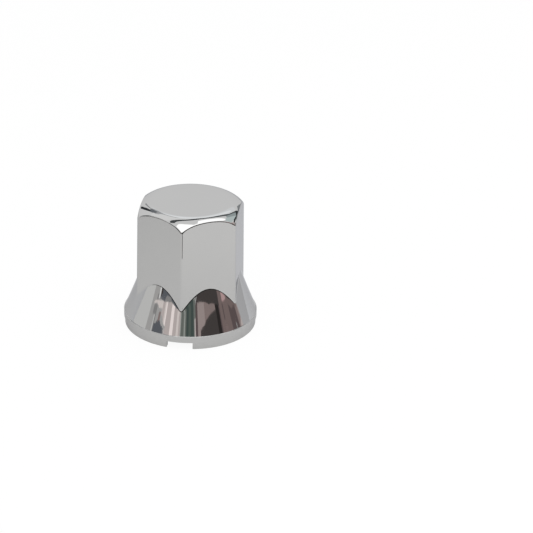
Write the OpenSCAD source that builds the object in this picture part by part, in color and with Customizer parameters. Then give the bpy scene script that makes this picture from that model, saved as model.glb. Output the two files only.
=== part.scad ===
// Push-on cover cap for a hexagonal wheel nut, moulded in one piece and chrome plated.
// The skirt's lower edge lies in the XY plane, the nut's axis is Z, and two of the six
// upright edges point along Y, above the two notches in the skirt.

/* [Hex body] */
// Width across the flats where the crown starts
across_flats = 40.4; // [40:0.1:43]
// Height from the skirt's lower edge to the top of the crown
cover_height = 54; // [50:0.5:64]
// Lean of each flat, so that the cover leaves its mould
draft_angle = 0.6; // [0.2:0.1:1]
// Radius of the six upright edges
edge_radius = 1.3; // [0.6:0.1:2]

/* [Crown] */
// Radius of the turned shoulder that cuts the corners off in arches
shoulder_radius = 8; // [6:0.5:10]
// How far the shoulder's sweep stands outside the six corners
shoulder_overhang = 0.6; // [0.3:0.1:1]

/* [Bell and rim] */
// Outer diameter of the skirt
rim_diameter = 54.4; // [53:0.1:58]
// Lean of the bell's wall from the upright
bell_angle = 21.6; // [18:0.2:26]
// Height of the skirt below the band
skirt_height = 3; // [2.5:0.1:4]
// Height of the band between the skirt and the bell
band_height = 2.1; // [1.8:0.1:3]
// How far the band stands out over the skirt
step_depth = 0.4; // [0.2:0.05:0.6]
// Size of the small bevels that break the rim's edges
edge_break = 0.3; // [0.1:0.05:0.5]
// Width of the two notches that a lever goes into
notch_width = 10.6; // [6:0.2:14]

/* [Inside] */
// Thickness of the moulded wall
wall = 2.2; // [1.8:0.1:2.5]
// Radius of the socket's six inner edges
socket_edge_radius = 0.8; // [0.4:0.1:1.4]
// Width across the flats of the wheel nut that the cover grips
nut_across_flats = 33; // [32:0.25:33.5]
// Clearance between each flat of the nut and the ribs
nut_clearance = 0.1; // [0:0.05:0.2]
// Width of one grip rib
rib_width = 1.4; // [1:0.1:2]
// Distance between the two ribs of one flat, centre to centre
rib_pitch = 12; // [8:0.5:13]
// Length of the slope that leads the nut in between the ribs
rib_lead = 3; // [2:0.5:5]
// How far below the crown's inner side the ribs step in to stop the nut
stop_drop = 10; // [6:0.5:14]
// How far the stops reach in over the nut's end
stop_reach = 3; // [2:0.5:4]

/* [Hidden] */
$fn = 96;

sides = 6;
notches = 2;
// Extra length of a cutter past the face that it opens
over = 1;
// How far a corner's cutting circle bulges past the flats, so that it crosses them cleanly
edge_bulge = 0.01;
// How deep a rib is rooted in the wall
rib_root = 1;

// Distance from the axis to a flat at height z, for a hexagon that is inset all round
function apothem(z, inset) =
    across_flats / 2 + (shoulder_base - z) * tan(draft_angle) - inset;
// Distance from the axis to the sharp corner of a hexagon with that apothem
function corner(flat) = flat / cos(180 / sides);

// Height of the shoulder's centre, and its distance from the axis
shoulder_base = cover_height - shoulder_radius;
shoulder_centre = corner(across_flats / 2) + shoulder_overhang - shoulder_radius;

rim_radius = rim_diameter / 2;
band_radius = rim_radius + step_depth;
bell_base = skirt_height + band_height;
mouth_radius = rim_radius - wall;

// Height at which the bell's wall reaches a given radius, for a bell that is inset all round
function bell_height(radius, inset) =
    bell_base + (band_radius - inset / cos(bell_angle) - radius) / tan(bell_angle);

// The inner bell ends a little above the place where it crosses the socket's flats
socket_flat = apothem(bell_base, wall);
rib_start = bell_height(socket_flat, wall) + rib_lead / 2;
rib_crest = nut_across_flats / 2 + nut_clearance;
socket_top = cover_height - wall;
stop_height = socket_top - stop_drop;
stop_crest = rib_crest - stop_reach;

// One pair of opposite flats with draft, as a long bar
module flat_pair(inset) {
    low = apothem(0, inset);
    high = apothem(cover_height, inset);
    rotate([90, 0, 0])
        linear_extrude(height = 4 * rim_radius, center = true)
            polygon([[-low, 0], [low, 0], [high, cover_height], [-high, cover_height]]);
}

// What rounds one upright edge: the corner's sliver outside a circle, along the leaning edge
module edge_sliver(inset, radius) {
    lean = atan(tan(draft_angle) / cos(180 / sides));
    tangent = radius * tan(180 / sides);
    centre = radius / cos(180 / sides);
    turn = 180 / sides;
    translate([corner(apothem(0, inset)), 0, 0])
        rotate([0, -lean, 0])
            translate([0, 0, -over])
                linear_extrude(height = cover_height + 2 * over)
                    difference() {
                        polygon([
                            [-tangent * sin(turn), tangent * cos(turn)],
                            [radius, centre],
                            [radius, -centre],
                            [-tangent * sin(turn), -tangent * cos(turn)]
                        ]);
                        translate([-centre, 0])
                            circle(r = radius + edge_bulge);
                    }
}

// Six drafted flats with rounded upright edges, inset by a wall's thickness or by nothing
module drafted_hexagon(inset, radius) {
    difference() {
        intersection_for(i = [0 : sides / 2 - 1])
            rotate([0, 0, i * 360 / sides])
                flat_pair(inset);
        for (i = [0 : sides - 1])
            rotate([0, 0, 90 + i * 360 / sides])
                edge_sliver(inset, radius);
    }
}

// Flat crown with a turned shoulder, as the solid that the hexagon is cut by
module crown_envelope(inset) {
    radius = shoulder_radius - inset;
    rotate_extrude()
        union() {
            square([shoulder_centre, cover_height - inset]);
            square([shoulder_centre + radius, shoulder_base]);
            intersection() {
                translate([shoulder_centre, shoulder_base])
                    circle(r = radius);
                square([shoulder_centre + radius, cover_height]);
            }
        }
}

module hex_body(inset, radius) {
    intersection() {
        drafted_hexagon(inset, radius);
        crown_envelope(inset);
    }
}

// Skirt, band with a bevelled lip over it, and leaning bell in one turned outline
module bell_outside() {
    inner = socket_flat - over;
    lip = step_depth / 2;
    rotate_extrude()
        polygon([
            [0, 0],
            [rim_radius - edge_break, 0],
            [rim_radius, edge_break],
            [rim_radius, skirt_height],
            [band_radius - lip, skirt_height],
            [band_radius, skirt_height + lip],
            [band_radius, bell_base],
            [inner, bell_height(inner, 0)],
            [0, bell_height(inner, 0)]
        ]);
}

// Round mouth for the nut's flange, narrowing to the socket
module bell_inside() {
    inner = socket_flat - over;
    rotate_extrude()
        polygon([
            [0, -over],
            [mouth_radius, -over],
            [mouth_radius, bell_height(mouth_radius, wall)],
            [inner, bell_height(inner, wall)],
            [0, bell_height(inner, wall)]
        ]);
}

// One rib on a flat that faces X: a slope that leads the nut in, a crest that grips, a stop
module grip_rib() {
    root = apothem(cover_height, wall) + rib_root;
    rotate([90, 0, 0])
        linear_extrude(height = rib_width, center = true)
            polygon([
                [root, rib_start],
                [apothem(rib_start, wall), rib_start],
                [rib_crest, rib_start + rib_lead],
                [rib_crest, stop_height],
                [stop_crest, stop_height],
                [stop_crest, socket_top + wall / 2],
                [root, socket_top + wall / 2]
            ]);
}

module grip_ribs() {
    intersection() {
        for (i = [0 : sides - 1], side = [-1, 1])
            rotate([0, 0, i * 360 / sides])
                translate([0, side * rib_pitch / 2, 0])
                    grip_rib();
        hex_body(wall / 2, edge_radius);
    }
}

// Notches below two opposite corners of the hexagon
module lever_notches() {
    for (i = [0 : notches - 1])
        rotate([0, 0, 90 + i * 360 / notches])
            translate([mouth_radius - wall, -notch_width / 2, -over])
                cube([2 * wall + over, notch_width, skirt_height + over]);
}

module nut_cover() {
    color("silver") {
        difference() {
            union() {
                hex_body(0, edge_radius);
                bell_outside();
            }
            hex_body(wall, socket_edge_radius);
            bell_inside();
            lever_notches();
        }
        grip_ribs();
    }
}

nut_cover();
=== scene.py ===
import math
import bmesh
import bpy
from mathutils import Euler, Matrix, Vector


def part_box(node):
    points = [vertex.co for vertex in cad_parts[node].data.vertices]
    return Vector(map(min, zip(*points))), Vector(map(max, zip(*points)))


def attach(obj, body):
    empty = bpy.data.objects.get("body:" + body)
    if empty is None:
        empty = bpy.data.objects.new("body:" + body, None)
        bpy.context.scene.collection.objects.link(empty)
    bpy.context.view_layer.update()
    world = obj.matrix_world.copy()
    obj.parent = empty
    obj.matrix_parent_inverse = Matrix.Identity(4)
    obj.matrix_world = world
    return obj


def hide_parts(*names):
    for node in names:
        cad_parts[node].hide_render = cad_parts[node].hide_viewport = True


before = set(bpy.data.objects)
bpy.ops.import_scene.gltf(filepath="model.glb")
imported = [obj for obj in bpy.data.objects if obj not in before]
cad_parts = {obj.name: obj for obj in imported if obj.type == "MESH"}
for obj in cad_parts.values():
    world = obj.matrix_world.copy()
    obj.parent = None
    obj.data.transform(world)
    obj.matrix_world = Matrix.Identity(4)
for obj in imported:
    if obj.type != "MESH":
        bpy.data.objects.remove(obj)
for name in ("Cube", "Light", "Camera"):     # Blender's start-up objects would count in the box
    if name in bpy.data.objects:
        bpy.data.objects.remove(bpy.data.objects[name])
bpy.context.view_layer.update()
coverLow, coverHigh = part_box("nut_cover")
mm = 0.001
poleReach = 1e-7                # metres from the axis within which a vertex is a pole
mergeDistance = 1e-6            # metres
heightSteps = 20                # rounds after which a height on the bell no longer moves
archSteps = 30                  # and a point on an arch
print("frame loaded, the cover measures", [round(s / mm, 2) for s in coverHigh - coverLow], "mm")

# The cover's sizes in mm and degrees. Height and rim come from the frame.
cover = {
    "height": coverHigh.z / mm,
    "bandRadius": coverHigh.x / mm,
    "acrossFlats": 40.4,        # where the crown's shoulder starts
    "draft": 0.6,               # lean of the flats
    "edgeRadius": 1.3,          # the six upright edges
    "shoulderRadius": 8.0,      # turned shoulder that cuts the corners off in arches
    "shoulderOverhang": 0.6,
    "bellAngle": 21.6,          # lean of the bell
    "bellCurve": 0.002,         # the bell is very slightly hollow, like a trumpet
    "bellStraight": 21.0,       # height at which it crosses the straight line of the drawing
    "skirtHeight": 3.0,
    "bandHeight": 2.1,
    "stepDepth": 0.4,           # how far the band stands out over the skirt
    "lipRise": 0.65,            # the band's upper lip rises a little over the bell's foot
    "notchWidth": 10.6,
    "wall": 2.2,
    "socketEdgeRadius": 0.8,
    "columns": 40,              # columns of faces in a twelfth of a turn
    "edgeColumns": 12,          # of those, the ones that round an upright edge
    "notchColumns": 24,         # and the ones up to the notch's side
    "edgeZone": 2.4,            # half the angle that the edge's columns cover
    "shoulderRows": 14,         # rows of faces down the outside and up the inside
    "bellRows": 8,
    "bellInsideRows": 6,
    "shoulderInsideRows": 10,
    "archEdge": (0.28, 3),      # how far each kind of edge is broken, and in how many segments
    "jointFillet": (0.6, 6),
    "bandRound": (0.16, 4),
    "rimEdge": (0.22, 3),
    "stepEdge": (0.18, 3),
    "stepReach": 0.5,           # how far above and below the step its sharp edges are looked for
    "sharpTurn": 40,            # an edge of the rim that turns more than this is broken
    "smoothTurn": 42,           # and one that turns less than this is shaded smooth
}
shoulderBase = cover["height"] - cover["shoulderRadius"]
bandRadius = cover["bandRadius"]
skirtRadius = bandRadius - cover["stepDepth"]
bellBase = cover["skirtHeight"] + cover["bandHeight"]
lipTop = bellBase + cover["lipRise"]
mouthRadius = skirtRadius - cover["wall"]
turnColumns = 12 * cover["columns"]


def tanDeg(angle):
    return math.tan(math.radians(angle))


def cosDeg(angle):
    return math.cos(math.radians(angle))


shoulderCentre = cover["acrossFlats"] / 2 / cosDeg(30) + cover["shoulderOverhang"] - cover["shoulderRadius"]


def apothem(z, inset):
    return cover["acrossFlats"] / 2 + (shoulderBase - z) * tanDeg(cover["draft"]) - inset


# Distance from the axis to the rounded hexagon, at an angle counted from its nearest corner
def hexRadius(angle, flat, edgeRadius):
    centre = (flat - edgeRadius) / cosDeg(30)
    halfArc = math.atan2(edgeRadius / 2, centre + edgeRadius * cosDeg(30))
    if angle > halfArc:
        return flat / math.cos(math.pi / 6 - angle)
    across = centre * math.sin(angle)
    return centre * math.cos(angle) + math.sqrt(edgeRadius ** 2 - across ** 2)


def bellHollow(z, inset):
    return 0 if inset else cover["bellCurve"] * (z - bellBase) * (z - cover["bellStraight"])


def bellRadius(z, inset):
    straight = bandRadius - inset / cosDeg(cover["bellAngle"]) - (z - bellBase) * tanDeg(cover["bellAngle"])
    return straight + bellHollow(z, inset)


def bellHeight(radius, inset):
    z = bellBase
    for step in range(heightSteps):
        straight = bandRadius - inset / cosDeg(cover["bellAngle"]) + bellHollow(z, inset) - radius
        z = bellBase + straight / tanDeg(cover["bellAngle"])
    return z


def crownHeight(radius, inset):
    past = max(radius - shoulderCentre, 0)
    return shoulderBase + math.sqrt((cover["shoulderRadius"] - inset) ** 2 - past ** 2)


# Where a flat meets the crown, and where it meets the bell, at one angle
def upperArch(angle, inset, edgeRadius):
    z = shoulderBase
    for step in range(archSteps):
        radius = hexRadius(angle, apothem(z, inset), edgeRadius)
        z = (z + crownHeight(radius, inset)) / 2
    return radius, z


def lowerArch(angle, inset, edgeRadius):
    z = bellBase
    for step in range(archSteps):
        radius = hexRadius(angle, apothem(z, inset), edgeRadius)
        z = bellHeight(radius, inset)
    return radius, z


# Columns lie close together at each upright edge, and one falls on the notch's side at every radius
def columnAngle(index, radius):
    side = math.asin(cover["notchWidth"] / 2 / radius)
    stops = [(0, 0), (cover["edgeColumns"], math.radians(cover["edgeZone"])),
             (cover["notchColumns"], side), (cover["columns"], math.pi / 6)]
    for (a, low), (b, high) in zip(stops, stops[1:]):
        if index <= b:
            return low + (high - low) * (index - a) / (b - a)


# The outline's rows from the crown's middle, down the outside, under the rim and up the inside.
# Each is a kind of row and its share of the way through that kind.
def outlineRows():
    rows = [("crown", s) for s in (0, 0.12, 0.4, 0.7, 0.9)]
    rows += [("shoulder", s / cover["shoulderRows"]) for s in range(cover["shoulderRows"])]
    rows += [("face", s) for s in (0, 0.02, 0.05, 0.12, 0.3, 0.5, 0.7, 0.86, 0.95, 0.98)]
    rows += [("bell", s / cover["bellRows"]) for s in range(cover["bellRows"])]
    rows += [(kind, 0) for kind in ("bellFoot", "bandTop", "bandFoot", "skirtTop", "skirtFoot", "mouthFoot",
                                    "mouthStep", "mouthTop")]
    inner = cover["bellInsideRows"]
    rows += [("bellInside", 1 - s / inner) for s in range(1, inner)]
    rows += [("faceInside", s) for s in (1, 0.97, 0.9, 0.6, 0.3, 0.1, 0.03)]
    inner = cover["shoulderInsideRows"]
    rows += [("shoulderInside", 1 - s / inner) for s in range(inner)]
    rows += [("crownInside", s) for s in (1, 0.7, 0.3, 0)]
    return rows


# Radius and height of a row, at one angle from the nearest upright edge
def rowPlace(kind, share, angle):
    inside = kind.endswith("Inside")
    inset = cover["wall"] if inside else 0
    edgeRadius = cover["socketEdgeRadius"] if inside else cover["edgeRadius"]
    form = kind.replace("Inside", "")
    if form == "crown":
        return share * shoulderCentre, cover["height"] - inset
    if form == "shoulder":
        arc = cover["shoulderRadius"] - inset
        turn = share * math.asin((upperArch(angle, inset, edgeRadius)[0] - shoulderCentre) / arc)
        return shoulderCentre + arc * math.sin(turn), shoulderBase + arc * math.cos(turn)
    if form == "face":
        top, foot = upperArch(angle, inset, edgeRadius)[1], lowerArch(angle, inset, edgeRadius)[1]
        z = top + share * (foot - top)
        return hexRadius(angle, apothem(z, inset), edgeRadius), z
    if form == "bell":
        foot = bellHeight(mouthRadius, inset) if inside else lipTop
        top = lowerArch(angle, inset, edgeRadius)[1]
        z = top + share * (foot - top)
        return bellRadius(z, inset), z
    return {
        "bellFoot": (bellRadius(lipTop, 0), lipTop),
        "bandTop": (bandRadius, lipTop),
        "bandFoot": (bandRadius, cover["skirtHeight"]),
        "skirtTop": (skirtRadius, cover["skirtHeight"]),
        "skirtFoot": (skirtRadius, 0),
        "mouthFoot": (mouthRadius, 0),
        "mouthStep": (mouthRadius, cover["skirtHeight"]),
        "mouthTop": (mouthRadius, bellHeight(mouthRadius, cover["wall"])),
    }[form]


# A turned blank: the outline spun round the axis, with each vertex's row noted
def spinBlank(rows):
    bm = bmesh.new()
    rowLayer = bm.verts.layers.int.new("row")
    line = []
    for index, (kind, share) in enumerate(rows):
        radius, z = rowPlace(kind, share, 0)
        vert = bm.verts.new((0, -radius * mm, z * mm))
        vert[rowLayer] = index
        line.append(vert)
    edges = [bm.edges.new(pair) for pair in zip(line, line[1:])]
    bmesh.ops.spin(bm, geom=line + edges, cent=(0, 0, 0), axis=(0, 0, 1), dvec=(0, 0, 0),
                   angle=2 * math.pi, steps=turnColumns, use_merge=True, use_duplicate=False)
    poles = [v for v in bm.verts if v.co.xy.length < poleReach]
    bmesh.ops.remove_doubles(bm, verts=poles, dist=mergeDistance)
    return bm, rowLayer


# Mills the blank to its hexagon: each vertex keeps its row and column and moves to its real place
def shapeBlank(bm, rowLayer, rows):
    columnLayer = bm.verts.layers.int.new("column")
    sector = turnColumns // 6
    places = {}
    for vert in bm.verts:
        if vert.co.xy.length < poleReach:
            vert[columnLayer] = -1
            continue
        turn = math.atan2(vert.co.x, -vert.co.y) % (2 * math.pi)
        column = round(turn / (2 * math.pi) * turnColumns) % turnColumns
        vert[columnLayer] = column
        corner = round(column / sector)
        away = abs(column - corner * sector)
        key = vert[rowLayer], away
        if key not in places:
            kind, share = rows[vert[rowLayer]]
            atRim = kind[:5] in ("skirt", "mouth")
            angle = columnAngle(away, rowPlace(kind, share, 0)[0] if atRim else skirtRadius)
            places[key] = (angle, *rowPlace(kind, share, angle))
        angle, radius, z = places[key]
        angle = corner * math.pi / 3 + math.copysign(angle, column - corner * sector)
        vert.co = Vector((radius * math.sin(angle), -radius * math.cos(angle), z)) * mm
    return columnLayer


# Takes the two notches out of the skirt, below opposite upright edges, and closes their walls
def cutNotches(bm, rowLayer, columnLayer, rows):
    kinds = [kind for kind, share in rows]
    top, foot = kinds.index("bandFoot"), kinds.index("mouthStep")
    half = turnColumns // 2
    for middle in (0, half):
        def inNotch(vert):
            away = (vert[columnLayer] - middle + half) % turnColumns - half
            return abs(away) <= cover["notchColumns"] and top <= vert[rowLayer] <= foot
        doomed = [f for f in bm.faces if all(inNotch(v) for v in f.verts)]
        bmesh.ops.delete(bm, geom=doomed, context="FACES")
        gap = [e for e in bm.edges if e.is_boundary]
        roof = [e for e in gap if all(v[rowLayer] == top for v in e.verts)
                or all(v[rowLayer] == foot for v in e.verts)]
        bmesh.ops.bridge_loops(bm, edges=roof)
        bmesh.ops.holes_fill(bm, edges=[e for e in bm.edges if e.is_boundary], sides=0)


# The edges that run round the whole cover along the wanted rows
def ringEdges(bm, rowLayer, rows, wanted):
    marked = {i for i, row in enumerate(rows) if row in wanted}
    return [e for e in bm.edges
            if e.verts[0][rowLayer] == e.verts[1][rowLayer] and e.verts[0][rowLayer] in marked]


# The edges that turn sharply below a height: the rim's, the step's and the notches'
def sharpEdges(bm, lowest, highest, turn):
    return [e for e in bm.edges if len(e.link_faces) == 2
            and all(lowest * mm <= v.co.z <= highest * mm for v in e.verts)
            and e.calc_face_angle(0) > math.radians(turn)]


def breakEdges(bm, edges, widthAndSegments):
    width, segments = widthAndSegments
    bmesh.ops.bevel(bm, geom=edges, offset=width * mm, offset_type="OFFSET", affect="EDGES",
                    segments=segments, profile=0.5, material=-1, clamp_overlap=True)


def makeCoverMesh():
    rows = outlineRows()
    bm, rowLayer = spinBlank(rows)
    columnLayer = shapeBlank(bm, rowLayer, rows)
    cutNotches(bm, rowLayer, columnLayer, rows)
    bmesh.ops.recalc_face_normals(bm, faces=bm.faces)
    kinds = [kind for kind, share in rows]
    for face in bm.faces:
        if all(v[rowLayer] >= kinds.index("mouthFoot") + 1 for v in face.verts):
            face.material_index = 1
    step, turn = cover["skirtHeight"], cover["sharpTurn"]
    breakEdges(bm, ringEdges(bm, rowLayer, rows, [("face", 0)]), cover["archEdge"])
    breakEdges(bm, ringEdges(bm, rowLayer, rows, [("bell", 0)]), cover["jointFillet"])
    breakEdges(bm, ringEdges(bm, rowLayer, rows, [("bandTop", 0)]), cover["bandRound"])
    breakEdges(bm, sharpEdges(bm, -1, step / 2, turn), cover["rimEdge"])
    breakEdges(bm, sharpEdges(bm, step - cover["stepReach"], step + cover["stepReach"], turn),
               cover["stepEdge"])
    mesh = bpy.data.meshes.new("nutCover")
    bm.to_mesh(mesh)
    openEdges = sum(not e.is_manifold for e in bm.edges)
    print("cover:", len(bm.faces), "faces,", openEdges, "open edges, volume",
          round(bm.calc_volume() / mm ** 3), "mm3")
    bm.free()
    return mesh


# Twelve ribs inside the socket grip the nut, and their upper ends step in to stop it
ribs = {
    "nutAcrossFlats": 33.0,
    "clearance": 0.1,
    "width": 1.4,
    "pitch": 12.0,
    "lead": 3.0,
    "stopDrop": 10.0,
    "stopReach": 3.0,
    "root": 1.0,                # how deep a rib stands in the wall
    "edge": (0.15, 2),          # how far its edges are broken, and in how many segments
}


# One rib on the flat that faces X, rooted in the wall, then a copy on each side of each flat
def makeRibMesh():
    crest = ribs["nutAcrossFlats"] / 2 + ribs["clearance"]
    start = bellHeight(apothem(bellBase, cover["wall"]), cover["wall"]) + ribs["lead"] / 2
    socketTop = cover["height"] - cover["wall"]
    stopHeight = socketTop - ribs["stopDrop"]
    stopCrest = crest - ribs["stopReach"]
    root = apothem(cover["height"], cover["wall"]) + ribs["root"]
    outline = [
        (root, start), (apothem(start, cover["wall"]), start), (crest, start + ribs["lead"]),
        (crest, stopHeight), (stopCrest, stopHeight), (stopCrest, socketTop + ribs["root"]),
        (root - cover["wall"], socketTop + ribs["root"]), (root, shoulderBase + cover["wall"]),
    ]
    bm = bmesh.new()
    first = bm.faces.new([bm.verts.new((x * mm, -ribs["width"] / 2 * mm, z * mm)) for x, z in outline])
    grown = bmesh.ops.extrude_face_region(bm, geom=[first])["geom"]
    bmesh.ops.translate(bm, verts=[v for v in grown if isinstance(v, bmesh.types.BMVert)],
                        vec=(0, ribs["width"] * mm, 0))
    bmesh.ops.recalc_face_normals(bm, faces=bm.faces)
    breakEdges(bm, bm.edges[:], ribs["edge"])
    pattern = bm.verts[:] + bm.edges[:] + bm.faces[:]
    for flat in range(6):
        for side in (-1, 1):
            copy = bmesh.ops.duplicate(bm, geom=pattern)["geom"]
            moved = [v for v in copy if isinstance(v, bmesh.types.BMVert)]
            bmesh.ops.translate(bm, verts=moved, vec=(0, side * ribs["pitch"] / 2 * mm, 0))
            bmesh.ops.rotate(bm, verts=moved, cent=(0, 0, 0),
                             matrix=Matrix.Rotation(flat * math.pi / 3, 3, "Z"))
    bmesh.ops.delete(bm, geom=[v for v in pattern if isinstance(v, bmesh.types.BMVert)], context="VERTS")
    for face in bm.faces:
        face.material_index = 1
    mesh = bpy.data.meshes.new("gripRibs")
    bm.to_mesh(mesh)
    bm.free()
    return mesh


def linkObject(name, mesh):
    made = bpy.data.objects.new(name, mesh)
    bpy.context.scene.collection.objects.link(made)
    return made


# Colours are sRGB hex values, as an artist picks them
def colour(hexValue):
    parts = [int(hexValue[i:i + 2], 16) / 255 for i in (1, 3, 5)]
    return (*[p / 12.92 if p <= 0.04045 else ((p + 0.055) / 1.055) ** 2.4 for p in parts], 1.0)


def newTree(owner):
    owner.use_nodes = True
    owner.node_tree.nodes.clear()
    return owner.node_tree


# Adds a node to a tree, with its own settings, the values of its sockets and the links into them
def addNode(tree, kind, settings=None, values=None, links=None):
    node = tree.nodes.new(kind)
    for name, value in (settings or {}).items():
        setattr(node, name, value)
    for socket, value in (values or {}).items():
        node.inputs[socket].default_value = value
    for socket, source in (links or {}).items():
        tree.links.new(source, node.inputs[socket])
    return node


chrome = {
    "colour": "#C3C3C2",        # chromium reflects about half of the light
    "cloudColour": "#C0C0C0",   # where the plating is thinner
    "edgeTint": "#E1E1E2",      # and hardly more at a glancing angle
    "roughness": 0.02,
    "haze": 0.015,              # extra roughness where it has been wiped
    "waveLength": 5.0,          # mm, slow unevenness of the moulding under the plating
    "waveHeight": 0.003,
    "peelLength": 1.1,          # mm, orange peel of the plating
    "peelHeight": 0.0006,
    "cloudLength": 14.0,        # mm, patches of thinner plating and of wiping
    "hazeRange": (0.45, 0.75),  # levels of the cloud noise between which the haze grows
}


# Chrome plated ABS: copper, nickel and bright chromium over a polished moulding.
# It mirrors its surroundings darkly, and slow unevenness bends the mirror a little.
def makeChrome(name, look):
    material = bpy.data.materials.new(name)
    tree = newTree(material)
    place = addNode(tree, "ShaderNodeTexCoord").outputs["Object"]
    noise = {}
    for part, detail in (("wave", 1.0), ("peel", 2.0), ("cloud", 4.0)):
        scale = 1 / (look[part + "Length"] * mm)
        made = addNode(tree, "ShaderNodeTexNoise", values={"Scale": scale, "Detail": detail},
                       links={"Vector": place})
        noise[part] = made.outputs["Fac"]
    hazeStart, hazeFull = look["hazeRange"]
    tint = addNode(tree, "ShaderNodeMix", settings={"data_type": "RGBA"},
                   values={6: colour(look["colour"]), 7: colour(look["cloudColour"])},
                   links={0: noise["cloud"]})
    haze = addNode(tree, "ShaderNodeMapRange",
                   values={"From Min": hazeStart, "From Max": hazeFull, "To Min": look["roughness"],
                           "To Max": look["roughness"] + look["haze"]},
                   links={"Value": noise["cloud"]})
    slow = addNode(tree, "ShaderNodeBump", values={"Strength": 1.0, "Distance": look["waveHeight"] * mm},
                   links={"Height": noise["wave"]})
    fine = addNode(tree, "ShaderNodeBump", values={"Strength": 1.0, "Distance": look["peelHeight"] * mm},
                   links={"Height": noise["peel"], "Normal": slow.outputs["Normal"]})
    surface = addNode(tree, "ShaderNodeBsdfPrincipled",
                      values={"Metallic": 1.0, "Specular Tint": colour(look["edgeTint"])},
                      links={"Base Color": tint.outputs[2], "Roughness": haze.outputs[0],
                             "Normal": fine.outputs["Normal"]})
    addNode(tree, "ShaderNodeOutputMaterial", links={"Surface": surface.outputs[0]})
    return material


# Inside, the plating bath throws less metal, so the skin is thin and dull
insideChrome = {
    **chrome,
    "colour": "#9FA0A0",
    "cloudColour": "#868786",
    "roughness": 0.28,
    "haze": 0.2,
    "waveLength": 4.0,
    "waveHeight": 0.004,
    "peelLength": 0.6,
    "peelHeight": 0.002,
}


def makeCover():
    nutCover = linkObject("nutCover", makeCoverMesh())
    gripRibs = linkObject("gripRibs", makeRibMesh())
    materials = [makeChrome("chromePlatedAbs", chrome), makeChrome("thinChromeInside", insideChrome)]
    for piece in (nutCover, gripRibs):
        for material in materials:
            piece.data.materials.append(material)
    join = nutCover.modifiers.new("ribs", "BOOLEAN")
    join.operation = "UNION"
    join.solver = "EXACT"
    join.object = gripRibs
    bpy.context.view_layer.update()
    whole = bpy.data.meshes.new_from_object(nutCover.evaluated_get(bpy.context.evaluated_depsgraph_get()))
    nutCover.modifiers.clear()
    nutCover.data = whole
    bpy.data.objects.remove(gripRibs)
    whole.shade_smooth()
    whole.set_sharp_from_angle(angle=math.radians(cover["smoothTurn"]))
    weigh = nutCover.modifiers.new("normals", "WEIGHTED_NORMAL")
    weigh.keep_sharp = True
    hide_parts("nut_cover")
    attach(nutCover, "root")
    print("cover with ribs:", len(whole.polygons), "faces")


studio = {
    "floorSize": 8.0,           # metres
    "floorColour": "#FAFAFA",
    "cameraGlow": 0.94,         # share of plain white in what the camera sees of the floor
    "mirrorGlow": 0.55,         # and of the board's painted fall-off of light in what the chrome sees of it
    "paintedFallOffAzimuth": 62,       # painted fall-off of light from the front's right: the board's glow dims away from it
    "dimEnd": -0.085,           # metres from the cover along that azimuth
    "dimmest": 0.55,
    "brightEnd": 0.12,
    "brightest": 0.81,
    "paintedFrontTint": "#FFFEFD",     # painted light colour: warmer towards the room in front, cooler at the back
    "paintedBackTint": "#F6F8FF",
    "frontEnd": -0.02,
    "backEnd": 0.06,
    "worldColour": "#FFFFFF",
    "worldStrength": 1.0,       # as seen; the light that it gives is weaker
    "worldLight": 0.8,
    "lookFrom": 0.05,           # height of the crown, from which the cards' directions are counted
}


# 1 where the camera, the chrome or a clear material looks, 0 for the light that a surface gets
def seenRays(tree):
    ray = addNode(tree, "ShaderNodeLightPath").outputs
    bright = addNode(tree, "ShaderNodeMath", {"operation": "MAXIMUM"},
                     links={0: ray["Is Camera Ray"], 1: ray["Is Glossy Ray"]}).outputs[0]
    seen = addNode(tree, "ShaderNodeMath", {"operation": "MAXIMUM"},
                   links={0: bright, 1: ray["Is Transmission Ray"]}).outputs[0]
    return seen, ray["Is Camera Ray"]
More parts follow.
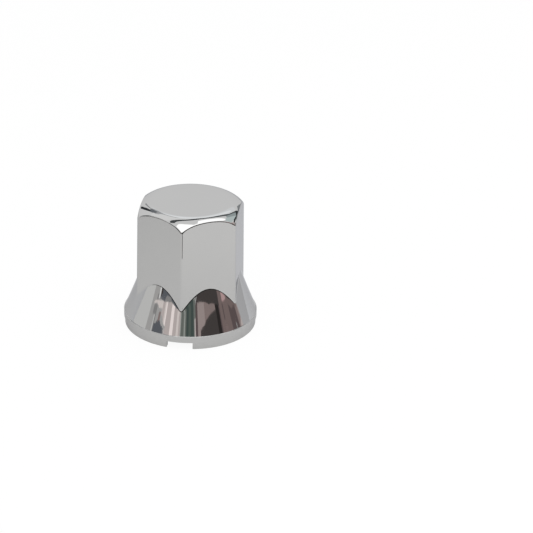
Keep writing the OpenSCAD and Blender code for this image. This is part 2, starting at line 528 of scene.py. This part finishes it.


# A matt white board: it keeps the cover's shadow, and its glow holds painted light that the chrome sees,
# dimmer away from the front's right, warmer in front and cooler at the back
def makeFloor():
    bm = bmesh.new()
    bmesh.ops.create_grid(bm, x_segments=1, y_segments=1, size=studio["floorSize"] / 2)
    mesh = bpy.data.meshes.new("floor")
    bm.to_mesh(mesh)
    bm.free()
    floor = linkObject("floor", mesh)
    material = bpy.data.materials.new("mattWhiteBoard")
    tree = newTree(material)
    place = addNode(tree, "ShaderNodeTexCoord").outputs["Object"]
    # Painted fall-off of light along the azimuth from the front's right, in the glow that the chrome sees
    turned = addNode(tree, "ShaderNodeMapping", settings={"vector_type": "POINT"}, links={"Vector": place},
                     values={"Rotation": (0, 0, math.radians(90 - studio["paintedFallOffAzimuth"]))})
    along = addNode(tree, "ShaderNodeSeparateXYZ", links={"Vector": turned.outputs[0]})
    paintedFallOff = addNode(tree, "ShaderNodeMapRange", links={"Value": along.outputs["X"]},
                    values={"From Min": studio["dimEnd"], "From Max": studio["brightEnd"],
                            "To Min": studio["dimmest"], "To Max": studio["brightest"]})
    # Painted light colour: the glow warms towards the front and cools towards the back
    depth = addNode(tree, "ShaderNodeSeparateXYZ", links={"Vector": place})
    back = addNode(tree, "ShaderNodeMapRange", links={"Value": depth.outputs["Y"]},
                   values={"From Min": studio["frontEnd"], "From Max": studio["backEnd"]})
    tint = addNode(tree, "ShaderNodeMix", {"data_type": "RGBA"}, links={0: back.outputs[0]},
                   values={6: colour(studio["paintedFrontTint"]), 7: colour(studio["paintedBackTint"])})
    seen, byCamera = seenRays(tree)
    plain = addNode(tree, "ShaderNodeMix", {"data_type": "RGBA"}, values={7: colour("#FFFFFF")},
                    links={0: byCamera, 6: tint.outputs[2]})
    strength = addNode(tree, "ShaderNodeMath", {"operation": "MAXIMUM"},
                       links={0: paintedFallOff.outputs[0], 1: byCamera}).outputs[0]
    board = addNode(tree, "ShaderNodeBsdfDiffuse", values={"Color": colour(studio["floorColour"])})
    glow = addNode(tree, "ShaderNodeEmission", links={"Color": plain.outputs[2], "Strength": strength})
    part = addNode(tree, "ShaderNodeMapRange", links={"Value": byCamera},
                   values={"To Min": studio["mirrorGlow"], "To Max": studio["cameraGlow"]})
    share = addNode(tree, "ShaderNodeMath", {"operation": "MULTIPLY"},
                    links={0: seen, 1: part.outputs[0]}).outputs[0]
    both = addNode(tree, "ShaderNodeMixShader", links={0: share, 1: board.outputs[0], 2: glow.outputs[0]})
    addNode(tree, "ShaderNodeOutputMaterial", links={"Surface": both.outputs[0]})
    mesh.materials.append(material)


def makeWorld():
    world = bpy.data.worlds.new("studioAir")
    tree = newTree(world)
    strength = addNode(tree, "ShaderNodeMapRange", links={"Value": seenRays(tree)[0]},
                       values={"To Min": studio["worldLight"], "To Max": studio["worldStrength"]})
    air = addNode(tree, "ShaderNodeBackground", values={"Color": colour(studio["worldColour"])},
                  links={"Strength": strength.outputs[0]})
    addNode(tree, "ShaderNodeOutputWorld", links={"Surface": air.outputs[0]})
    bpy.context.scene.world = world


def makeGlow(name, hexValue, strength):
    material = bpy.data.materials.new(name)
    tree = newTree(material)
    glow = addNode(tree, "ShaderNodeEmission", values={"Color": colour(hexValue), "Strength": strength})
    addNode(tree, "ShaderNodeOutputMaterial", links={"Surface": glow.outputs[0]})
    return material


# A card that the chrome mirrors and the camera doesn't see, from its corners
def makeCard(name, corners, hexValue, strength, lightsRoom=False):
    bm = bmesh.new()
    bm.faces.new([bm.verts.new(corner) for corner in corners])
    mesh = bpy.data.meshes.new(name)
    bm.to_mesh(mesh)
    bm.free()
    mesh.materials.append(makeGlow(name, hexValue, strength))
    card = linkObject(name, mesh)
    card.visible_camera = False
    card.visible_diffuse = lightsRoom
    card.visible_shadow = False


# The softbox and its frame hang a metre above the crown: corners across and deep, colour, strength
overhead = {
    "softboxCloth": (1.04, "#FFFFFF", 1.9, [
        (-0.37, -0.5), (-0.33, -0.38), (-0.27, -0.2), (-0.22, -0.12), (0.1, -0.14), (0.13, 0.02),
        (0.08, 0.2), (0.05, 0.36), (0.12, 0.55), (0.3, 0.6), (0.5, 0.57), (0.68, 0.54), (0.76, 0.48),
        (0.72, 0.36), (0.8, -0.3), (0.9, -1.6), (-0.45, -2.2)]),
    "softboxFrame": (1.06, "#5A5D60", 1.0, [
        (-0.48, -0.08), (-0.447, 0.08), (-0.382, 0.24), (-0.328, 0.32), (-0.272, 0.41), (-0.222, 0.47),
        (-0.175, 0.53), (-0.135, 0.617), (-0.1, 0.76), (-0.08, 0.87), (0.04, 0.82), (0.02, 0.735),
        (-0.011, 0.583), (-0.055, 0.473), (-0.113, 0.385), (-0.16, 0.325), (-0.222, 0.23),
        (-0.268, 0.165), (-0.323, 0.02), (-0.35, -0.08)]),
}

# Cards round the sides: distance, colour, strength, corners as azimuth and elevation in degrees
upright = {
    "backGlow": (1.5, "#FBFDFF", 1.3, [(163, 36), (171, 35), (198, 35), (198, 52), (184, 52), (171, 48),
                                       (163, 45)]),
    "backHaze": (1.52, "#FBFDFF", 1.1, [(158, 31), (171, 29), (201, 29), (201, 53), (184, 53), (171, 49),
                                        (158, 45)]),
    "leftGlow": (1.5, "#FFFFFF", 1.1, [(-160, 44), (-142, 42), (-115, 40), (-115, 64), (-142, 64),
                                       (-160, 60)]),
    "topBar": (1.3, "#6C6F72", 1.0, [(150, 41), (160, 43.5), (172, 46), (184, 49.5), (184, 58), (172, 54.5),
                                     (160, 51.5), (150, 48)]),
    "rightShade": (0.13, "#D1D1D3", 1.0, [(100, -20.5), (126, -20.5), (150, -20.5), (150, 2), (126, 4),
                                          (100, 4)]),
    "leftShade": (0.12, "#CECFD1", 1.0, [(-152, -22), (-129, -22), (-129, -9), (-152, -9)]),
    "rightPost": (1.29, "#5C6062", 1.0, [(149.5, 29), (155.5, 29), (156.5, 46), (151, 46)]),
    "rightSill": (1.28, "#46494B", 1.0, [(107, 17), (110.5, 17), (113, 22), (118, 25.5), (122, 26.5),
                                         (130, 24.5), (137, 26.5), (152, 27.5), (155.5, 31), (152, 32.5),
                                         (137, 31), (130, 31.5), (122, 32), (117, 30), (111, 26.5)]),
    "rightFoot": (0.6, "#6E7275", 1.0, [(141, 3), (152, 1), (152, 28), (141, 28)]),
    "rightPanel": (0.7, "#A6AAAC", 1.0, [(124, 6), (141, 4), (141, 26), (124, 25)]),
    "rightEdge": (0.7, "#7C7F82", 1.0, [(101, 9), (112, 9), (112, 20), (101, 17)]),
    "backPanel": (0.7, "#A2A6A8", 1.0, [(152, 0), (165, -2), (165, 24), (152, 27)]),
    "greenScreen": (1.4, "#B6C1C2", 1.0, [(136, 31), (151, 31), (151, 48), (136, 48)]),
    "greenPanel": (1.4, "#DEEBEB", 1.0, [(104, 30), (136, 31), (136, 49), (127, 49), (115, 48), (104, 42)]),
    "leftDoor": (1.3, "#3E4144", 1.0, [(-140.8, 15), (-135.8, 15), (-134.6, 26), (-136, 32), (-138, 36.5),
                                       (-147, 36), (-145.5, 31), (-142, 25)]),
    "leftLintel": (1.31, "#868A8F", 1.0, [(-156, 33.5), (-147, 34), (-138, 36), (-139, 41), (-146, 42.5),
                                          (-157, 38)]),
    "leftShelf": (1.35, "#CECFD1", 1.0, [(-163, 32), (-155, 32), (-144, 40), (-140, 44.5), (-146, 45.5),
                                         (-160, 41)]),
    "leftPole": (1.32, "#AEB0B3", 1.0, [(-153, 22), (-149.5, 22), (-151.5, 36), (-155, 36)]),
    "leftCord": (1.33, "#BCBEC0", 1.0, [(-158, 36), (-155, 36), (-161, 50), (-164.5, 50)]),
    "leftDark": (1.4, "#6E7072", 1.0, [(-112, 9), (-91, 9), (-70, 9), (-70, 38), (-91, 38), (-112, 38)]),
}


# A place round the cover: azimuth in degrees from the front, distance from the axis and height
def facing(azimuth, distance, height):
    turn = math.radians(azimuth)
    return distance * math.sin(turn), -distance * math.cos(turn), height


def makeCards():
    for name, (height, hexValue, strength, corners) in overhead.items():
        points = [(x, y, height + studio["lookFrom"]) for x, y in corners]
        makeCard(name, points, hexValue, strength, lightsRoom=(name == "softboxCloth"))
    for name, (distance, hexValue, strength, corners) in upright.items():
        points = [facing(azimuth, distance, studio["lookFrom"] + distance * tanDeg(elevation))
                  for azimuth, elevation in corners]
        makeCard(name, points, hexValue, strength)


# The dim room in front, which only the bell mirrors, in a few paints and cloths. The plating halves
# what it mirrors, and the room's strength makes up for that, so they show about as they are written.
paints = {
    "palePaint": "#B0B0AF",
    "greyPaint": "#969594",
    "slatePaint": "#7A7979",
    "whitePaint": "#C6C6C6",
    "windowGlass": "#53565B",
    "linen": "#A9A09E",
    "paleLinen": "#C1B9B6",
    "sunnyLinen": "#D8CECC",
    "lampShade": "#E4E0DF",
    "greenDoor": "#3E4845",
    "greenPanel": "#4C5550",
    "greenPost": "#5F635F",
    "greenEdge": "#6C706C",
    "greenTrim": "#8E918D",
    "brownPaint": "#8C807E",
    "brownShade": "#7A6D6B",
    "redTile": "#6B5E5C",
    "umber": "#544A4A",
    "stainedOak": "#3D3938",
    "blackCloth": "#292625",
    "skirtingBlack": "#1C1C1D",
    "paleRose": "#C6B0B1",
    "rose": "#A48989",
}

# Hangings between two azimuths, then shapes before them: azimuth, lower and upper height in metres
room = {
    "radius": 1.3,
    "top": 0.75,
    "strength": 1.92,
    "panelWidth": 4,            # degrees
    "layer": 0.003,             # metres between a shape and the one behind it
    "floorLift": 0.001,         # metres between the dark floor and the board below it
    "folds": {
        "sideWall": [(-76, -71, "palePaint"), (-71, -60.6, "greyPaint"), (-60.6, -58.8, "palePaint"),
                     (-58.8, -57, "slatePaint"), (-57, -47, "greyPaint")],
        "curtain": [(-47, -41, "linen"), (-41, -38.6, "paleLinen"), (-38.6, -36.4, "sunnyLinen"),
                    (-36.4, -27, "linen"), (-27, -21.5, "sunnyLinen"), (-21.5, -15.5, "linen"),
                    (-15.5, -12, "paleLinen"), (-12, -9, "linen"), (-9, -7.5, "greenTrim")],
        "doorway": [(-7.5, -3, "greenPost"), (-3, -1.8, "greenEdge"), (-1.8, -0.2, "greenTrim"),
                    (-0.2, 2, "greenPost"), (2, 6, "greenDoor"), (6, 10, "greenPanel"),
                    (10, 15.4, "greenDoor"), (15.4, 16.8, "greenEdge"), (16.8, 18.6, "linen"),
                    (18.6, 22.6, "umber")],
        "brownWall": [(22.6, 36, "brownPaint"), (36, 58, "brownShade")],
        "pillar": [(58, 65, "blackCloth"), (65, 67, "umber")],
        "tiledWall": [(67, 86, "redTile"), (86, 100, "umber"), (100, 105, "brownShade"),
                      (105, 111, "brownPaint")],
    },
    "shapes": {
        "lowWall": ("palePaint", [(-132, 0.0, 0.25), (-76, 0.0, 0.25)]),
        "window": ("windowGlass", [
            (-55, 0.0, 0.213), (-50, 0.0, 0.236), (-44, 0.0, 0.261), (-38, 0.0, 0.275),
            (-32, 0.0, 0.295), (-26, 0.0, 0.316), (-18, 0.0, 0.332)]),
        "windowHaze": ("slatePaint", [
            (-44, 0.257, 0.261), (-40, 0.26, 0.273), (-34, 0.275, 0.293), (-29, 0.287, 0.303),
            (-24, 0.302, 0.32)]),
        "windowJamb": ("stainedOak", [(-55, 0.0, 0.209), (-52.6, 0.0, 0.217), (-51, 0.0, 0.219)]),
        "sideDoor": ("greyPaint", [(-67.5, 0.0, 0.164), (-62, 0.0, 0.188), (-57.6, 0.0, 0.204)]),
        "sideShade": ("slatePaint", [(-61.5, 0.177, 0.188), (-58.2, 0.191, 0.203)]),
        "windowPost": ("whitePaint", [(-58.4, 0.0, 0.197), (-55.4, 0.0, 0.209)]),
        "shelf": ("paleLinen", [
            (-66, 0.169, 0.174), (-60, 0.194, 0.199), (-53, 0.223, 0.238), (-46, 0.249, 0.265)]),
        "shelfShade": ("slatePaint", [(-64.2, 0.184, 0.2), (-58.8, 0.205, 0.226)]),
        "benchHaze": ("greyPaint", [
            (-50, 0.262, 0.27), (-47, 0.272, 0.285), (-44, 0.288, 0.303), (-40, 0.315, 0.326),
            (-36, 0.334, 0.342)]),
        "bench": ("windowGlass", [
            (-57.4, 0.247, 0.75), (-54, 0.261, 0.75), (-50, 0.267, 0.75), (-48, 0.279, 0.75),
            (-44, 0.303, 0.75), (-40, 0.325, 0.75), (-34, 0.352, 0.75), (-30, 0.368, 0.75)]),
        "stand": ("brownShade", [(-51.6, 0.249, 0.27), (-47.6, 0.264, 0.28)]),
        "lamp": ("lampShade", [(-26.4, 0.374, 0.75), (-23.6, 0.381, 0.75)]),
        "doorShade": ("greenPost", [(16.4, 0.0, 0.381), (18.9, 0.0, 0.377)]),
        "ceilingBeam": ("stainedOak", [
            (19.5, 0.0, 0.343), (24, 0.0, 0.336), (28, 0.0, 0.33), (34, 0.0, 0.322), (40, 0.0, 0.312),
            (46, 0.0, 0.304), (52, 0.0, 0.288), (58, 0.0, 0.272), (66.4, 0.0, 0.247)]),
        "beamEnd": ("greyPaint", [(16.2, 0.0, 0.316), (19.4, 0.331, 0.342), (22, 0.314, 0.322)]),
        "counter": ("stainedOak", [
            (27, 0.396, 0.75), (30, 0.387, 0.75), (34, 0.375, 0.75), (37, 0.361, 0.75),
            (44, 0.333, 0.75), (52, 0.304, 0.75), (59, 0.279, 0.75)]),
        "tile": ("rose", [
            (74.5, 0.19, 0.208), (77, 0.173, 0.198), (80, 0.166, 0.184), (83, 0.158, 0.168)]),
        "crack": ("umber", [(72.8, 0.217, 0.248), (74.8, 0.211, 0.237)]),
        "tileLow": ("paleRose", [
            (70.8, 0.282, 0.75), (73, 0.266, 0.75), (75, 0.256, 0.75), (77.4, 0.25, 0.75)]),
        "knob": ("greyPaint", [(93.4, 0.158, 0.161), (95.6, 0.145, 0.148)]),
        "cupboardTop": ("redTile", [
            (86, 0.0, 0.163), (92, 0.0, 0.141), (98, 0.0, 0.106), (103, 0.0, 0.081)]),
        "cupboardGap": ("stainedOak", [
            (85, 0.0, 0.135), (89, 0.0, 0.122), (93, 0.0, 0.095), (96, 0.0, 0.076)]),
        "paleDoor": ("linen", [
            (97.5, 0.141, 0.75), (102, 0.112, 0.75), (106, 0.08, 0.75), (111, 0.045, 0.75)]),
        "skirting": ("skirtingBlack", [
            (-70, 0.0, 0.03), (-55, 0.0, 0.12), (-30, 0.0, 0.2), (0, 0.0, 0.27), (30, 0.0, 0.24),
            (60, 0.0, 0.16), (80, 0.0, 0.09), (95, 0.0, 0.02), (104, 0.0, 0.0)]),
    },
    # Where the white board ends in front and the dark floor starts: azimuth, metres from the axis
    "boardEdge": [(-76, 0.24), (-45, 0.19), (4, 0.17), (6, 0.108), (20, 0.108), (22, 0.17), (45, 0.19),
                  (52, 0.22), (106, 0.3)],
    "floorPaint": "blackCloth",
}


def between(low, high, share):
    return low + (high - low) * share


# The starts and ends of the narrow panels between two azimuths, as shares of the way
def panelShares(first, last):
    steps = math.ceil((last - first) / room["panelWidth"])
    return [(step / steps, (step + 1) / steps) for step in range(steps)]


def makeRoom():
    bm = bmesh.new()
    slots = list(paints)

    def addPanel(corners, paint):
        face = bm.faces.new([bm.verts.new(corner) for corner in corners])
        face.material_index = slots.index(paint)

    # Stands between stations of azimuth, low and high, bent round the cover in narrow panels
    def addBand(stations, distance, paint):
        for (a, lowA, highA), (b, lowB, highB) in zip(stations, stations[1:]):
            for s, t in panelShares(a, b):
                left, right = between(a, b, s), between(a, b, t)
                addPanel([facing(left, distance, between(lowA, lowB, s)),
                          facing(right, distance, between(lowA, lowB, t)),
                          facing(right, distance, between(highA, highB, t)),
                          facing(left, distance, between(highA, highB, s))], paint)

    for folds in room["folds"].values():
        for first, last, paint in folds:
            addBand([(first, 0, room["top"]), (last, 0, room["top"])], room["radius"], paint)
    for number, (paint, stations) in enumerate(room["shapes"].values(), 1):
        addBand(stations, room["radius"] - room["layer"] * number, paint)
    for (a, edgeA), (b, edgeB) in zip(room["boardEdge"], room["boardEdge"][1:]):
        for s, t in panelShares(a, b):
            left, right = between(a, b, s), between(a, b, t)
            addPanel([facing(left, between(edgeA, edgeB, s), room["floorLift"]),
                      facing(right, between(edgeA, edgeB, t), room["floorLift"]),
                      facing(right, room["radius"], room["floorLift"]),
                      facing(left, room["radius"], room["floorLift"])], room["floorPaint"])
    mesh = bpy.data.meshes.new("roomCloth")
    bm.to_mesh(mesh)
    bm.free()
    for paint in slots:
        mesh.materials.append(makeGlow(paint, paints[paint], room["strength"]))
    cloth = linkObject("roomCloth", mesh)
    cloth.visible_camera = False
    cloth.visible_diffuse = False
    cloth.visible_shadow = False


# The photograph's view: where the camera stands round the cover, and how it is turned
camera = {
    "azimuth": 9.22,
    "distance": 0.7496,         # along the floor from the cover's axis
    "height": 0.3776,
    "heading": 6.83,
    "tilt": 25.2,
    "roll": 1.4,
    "lens": 135.5,              # mm, on a film as wide as this
    "film": 36,
}


def makeCamera():
    data = bpy.data.cameras.new("camera")
    data.sensor_width = camera["film"]
    data.lens = camera["lens"]
    made = linkObject("camera", data)
    azimuth = math.radians(camera["azimuth"])
    made.location = (camera["distance"] * math.sin(azimuth), -camera["distance"] * math.cos(azimuth),
                     camera["height"])
    aim = Euler((math.radians(90 - camera["tilt"]), 0, math.radians(camera["heading"]))).to_matrix()
    made.rotation_euler = (aim @ Matrix.Rotation(math.radians(camera["roll"]), 3, "Z")).to_euler()
    bpy.context.scene.camera = made


makeCover()
makeFloor()
makeWorld()
makeCards()
makeRoom()
makeCamera()
bpy.context.scene.view_settings.view_transform = "Standard"
print("studio and camera are in place")
